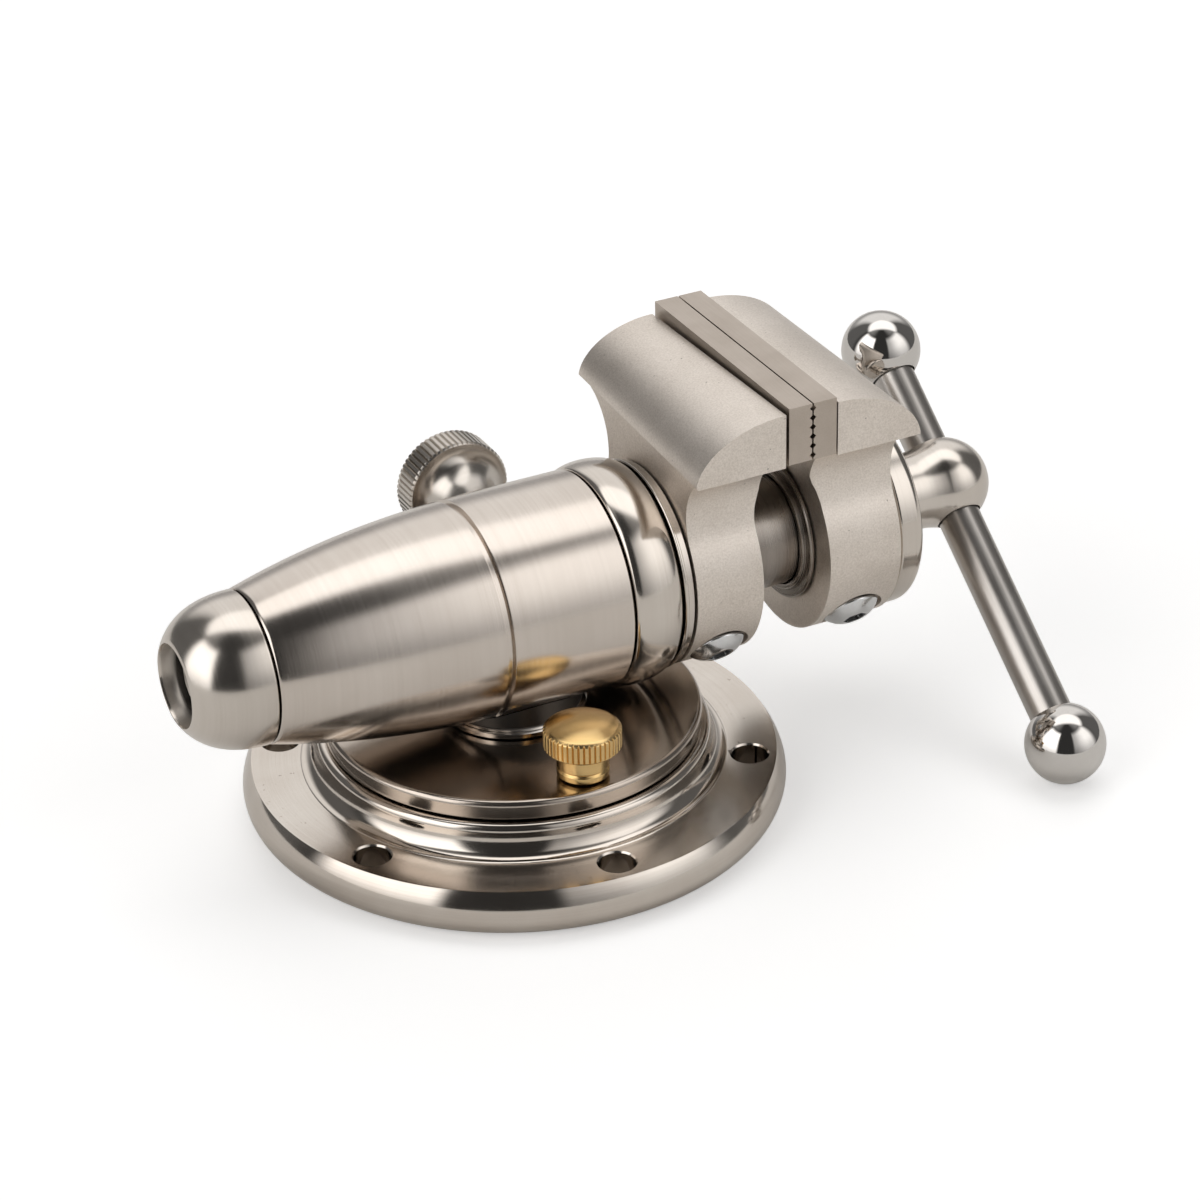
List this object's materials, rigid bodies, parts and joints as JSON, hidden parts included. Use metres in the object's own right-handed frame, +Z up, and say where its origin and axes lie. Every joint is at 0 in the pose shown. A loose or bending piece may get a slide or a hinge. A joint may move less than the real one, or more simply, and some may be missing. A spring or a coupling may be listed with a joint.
{
  "type": "swivel bench vise",
  "caption": "Small metal bench vise with a turning jaw head in a tapered barrel, on a round swivelling base with brass and steel lock knobs and a ball-ended handle.",
  "frame": {"origin": "centre of the round base's underside, on the swivel axis", "axes": "+Z up along the swivel axis, +X along the barrel towards the jaws and the handle, -Y towards the brass swivel lock knob"},
  "size_m": [0.163, 0.1013, 0.0789],
  "materials": {
    "satin_nickel": "satin nickel plate on steel",
    "polished_nickel": "polished nickel plate",
    "blasted_nickel": "bead-blasted nickel plate",
    "ground_steel": "ground hardened steel",
    "bright_zinc": "bright zinc plate",
    "bright_steel": "turned steel",
    "polished_brass": "polished brass",
    "bearing_bronze": "turned bronze"
  },
  "bodies": {
    "base": {"base_flange": "satin_nickel", "pivot_bolt": "bright_steel", "swivel_thrust_ring": "bearing_bronze", "swivel_washer": "bright_zinc", "swivel_nut": "bright_zinc"},
    "turret": {"turntable": "satin_nickel", "barrel_saddle": "satin_nickel", "rear_saddle_screw": "bright_zinc", "front_saddle_screw": "bright_zinc", "barrel": "satin_nickel", "nose_cap": "polished_nickel", "bead_collar": "polished_nickel", "head_bush": "bearing_bronze"},
    "head": {"head_sleeve": "bright_steel", "sleeve_lock_ring": "bright_steel", "head_collar": "polished_nickel", "rear_jaw": "blasted_nickel", "rear_jaw_plate": "ground_steel", "rear_jaw_plate_screw_near": "bright_zinc", "rear_jaw_plate_screw_far": "bright_zinc", "rear_ring_screw": "bright_zinc", "lead_nut": "bearing_bronze", "nut_retaining_ring": "bright_steel", "slide_key": "bright_steel"},
    "front_slide": {"front_jaw": "blasted_nickel", "front_jaw_plate": "ground_steel", "front_jaw_plate_screw_near": "bright_zinc", "front_jaw_plate_screw_far": "bright_zinc", "front_ring_screw": "bright_zinc", "slide_tube": "bright_steel", "tube_collar": "bright_steel", "inner_thrust_washer": "bearing_bronze", "outer_thrust_washer": "bearing_bronze", "front_cap": "polished_nickel"},
    "spindle": {"lead_screw": "bright_steel", "spindle_hub": "polished_nickel", "hub_pin": "bright_steel"},
    "handle": {"handle_bar": "polished_nickel", "upper_handle_ball": "polished_nickel", "lower_handle_ball": "polished_nickel"},
    "swivel_pad": {"swivel_lock_pad": "bearing_bronze"},
    "swivel_lock": {"swivel_lock_knob": "polished_brass"},
    "head_pad": {"head_lock_pad": "bearing_bronze"},
    "head_lock": {"head_lock_knob": "polished_nickel"}
  },
  "joints": [
    {"name": "base_swivel", "type": "hinge", "parent": "base", "child": "turret", "pos_m": [0, 0, 0], "axis": [0, 0, 1], "continuous": true},
    {"name": "head_turn", "type": "hinge", "parent": "turret", "child": "head", "pos_m": [0, 0, 0.0409], "axis": [1, 0, 0], "range_deg": [-90, 90]},
    {"name": "jaw_slide", "type": "slide", "parent": "head", "child": "front_slide", "axis": [1, 0, 0], "range_m": [0, 0.04]},
    {"name": "spindle_turn", "type": "hinge", "parent": "front_slide", "child": "spindle", "pos_m": [0, 0, 0.0409], "axis": [1, 0, 0], "range_deg": [0, 3601]},
    {"name": "bar_slide", "type": "slide", "parent": "spindle", "child": "handle", "axis": [0, -0.7997, -0.6004], "range_m": [-0.0416, 0.0154]},
    {"name": "swivel_lock_lift", "type": "slide", "parent": "turret", "child": "swivel_pad", "axis": [0, 0, 1], "range_m": [0, 0.0012]},
    {"name": "swivel_lock_turn", "type": "hinge", "parent": "swivel_pad", "child": "swivel_lock", "pos_m": [0, -0.0281, 0], "axis": [0, 0, 1], "range_deg": [0, 541]},
    {"name": "head_lock_draw", "type": "slide", "parent": "turret", "child": "head_pad", "axis": [0, 1, 0], "range_m": [0, 0.0012]},
    {"name": "head_lock_turn", "type": "hinge", "parent": "head_pad", "child": "head_lock", "pos_m": [0.0095, 0, 0.0409], "axis": [0, 1, 0], "range_deg": [0, 541]}
  ],
  "couplings": [
    {"joint": "spindle_turn", "follows": "jaw_slide", "rad_per_m": 1570.8},
    {"joint": "swivel_lock_turn", "follows": "swivel_lock_lift", "rad_per_m": 7854},
    {"joint": "head_lock_turn", "follows": "head_lock_draw", "rad_per_m": 7854}
  ]
}
